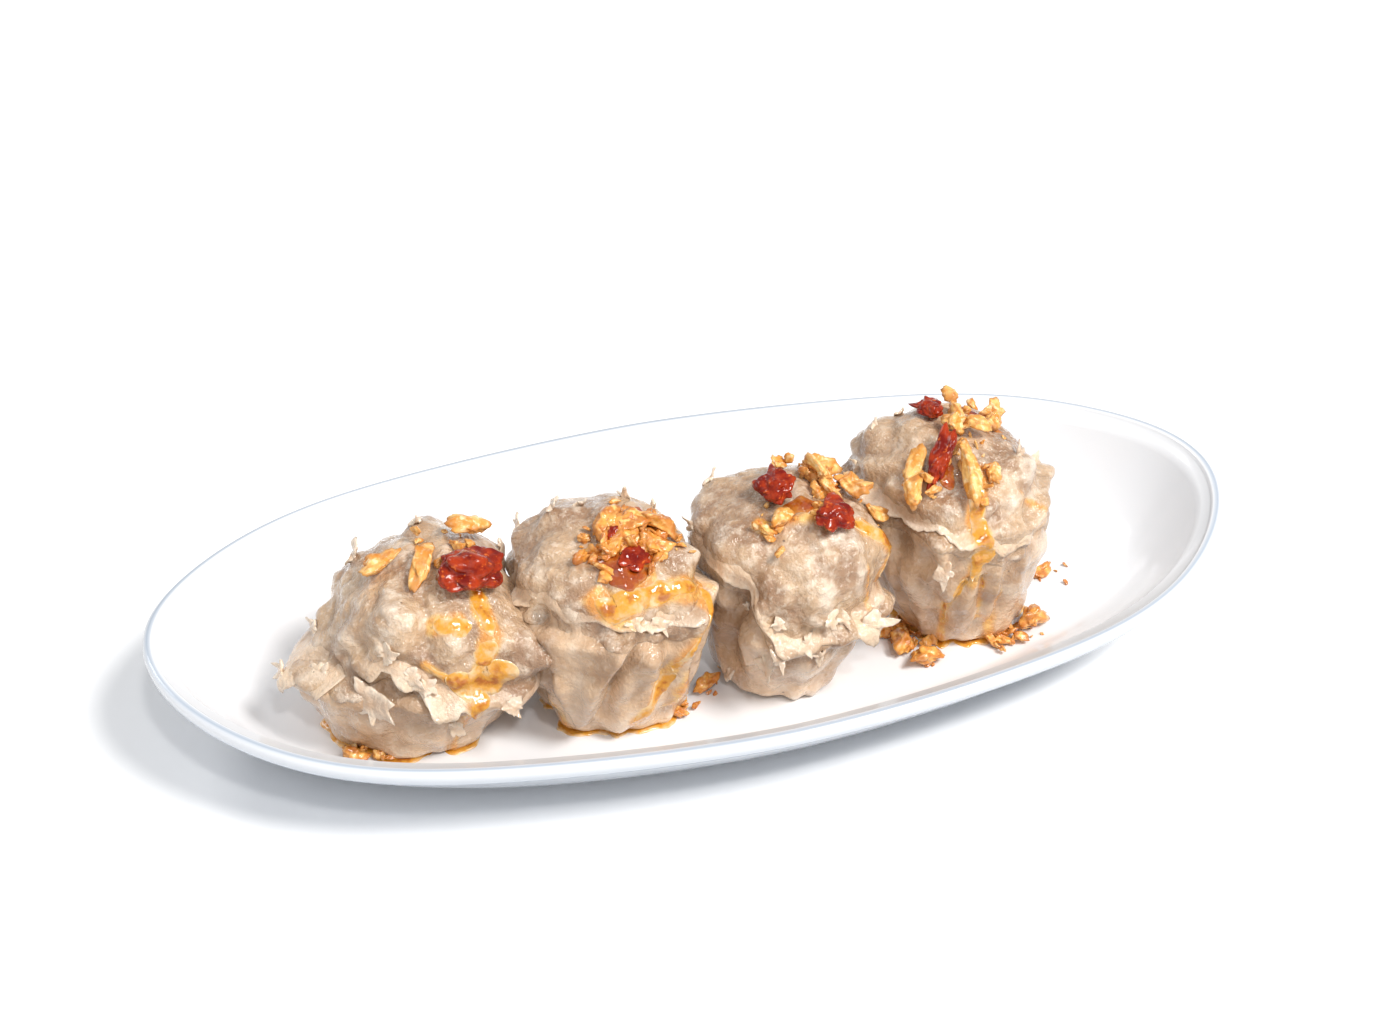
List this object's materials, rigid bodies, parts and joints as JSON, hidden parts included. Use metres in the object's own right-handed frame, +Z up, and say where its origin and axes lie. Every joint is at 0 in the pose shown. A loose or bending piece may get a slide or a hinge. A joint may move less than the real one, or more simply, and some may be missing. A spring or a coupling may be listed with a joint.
{
  "type": "siu mai dumplings on a plate",
  "caption": "Steamed siu mai dumplings in a row on a white boat-shaped plate, topped with fried garlic, chilli and oil.",
  "frame": {"origin": "on the table, under the middle of the plate", "axes": "+X along the plate's length, +Z up"},
  "size_m": [0.22, 0.1064, 0.0537],
  "materials": {
    "melamine": "gloss",
    "wrapper": "moist",
    "filling": "moist",
    "garlic": "crisp",
    "chilli": "wet",
    "oil": "wet"
  },
  "bodies": {
    "root": {"chilli_01": "chilli", "chilli_02": "chilli", "chilli_03": "chilli", "chilli_04": "chilli", "chilli_05": "chilli", "chilli_06": "chilli", "chilli_07": "chilli", "filling_1": "filling", "filling_2": "filling", "filling_3": "filling", "filling_4": "filling", "garlic_01": "garlic", "garlic_02": "garlic", "garlic_03": "garlic", "garlic_04": "garlic", "garlic_05": "garlic", "garlic_06": "garlic", "garlic_07": "garlic", "garlic_08": "garlic", "garlic_09": "garlic", "garlic_10": "garlic", "garlic_11": "garlic", "garlic_12": "garlic", "garlic_13": "garlic", "garlic_14": "garlic", "garlic_15": "garlic", "garlic_16": "garlic", "garlic_17": "garlic", "garlic_18": "garlic", "garlic_19": "garlic", "garlic_20": "garlic", "garlic_21": "garlic", "garlic_22": "garlic", "garlic_23": "garlic", "garlic_24": "garlic", "garlic_25": "garlic", "garlic_26": "garlic", "garlic_27": "garlic", "garlic_28": "garlic", "garlic_29": "garlic", "garlic_30": "garlic", "plate": "melamine", "wrapper_1": "wrapper", "wrapper_2": "wrapper", "wrapper_3": "wrapper", "wrapper_4": "wrapper"}
  },
  "joints": []
}
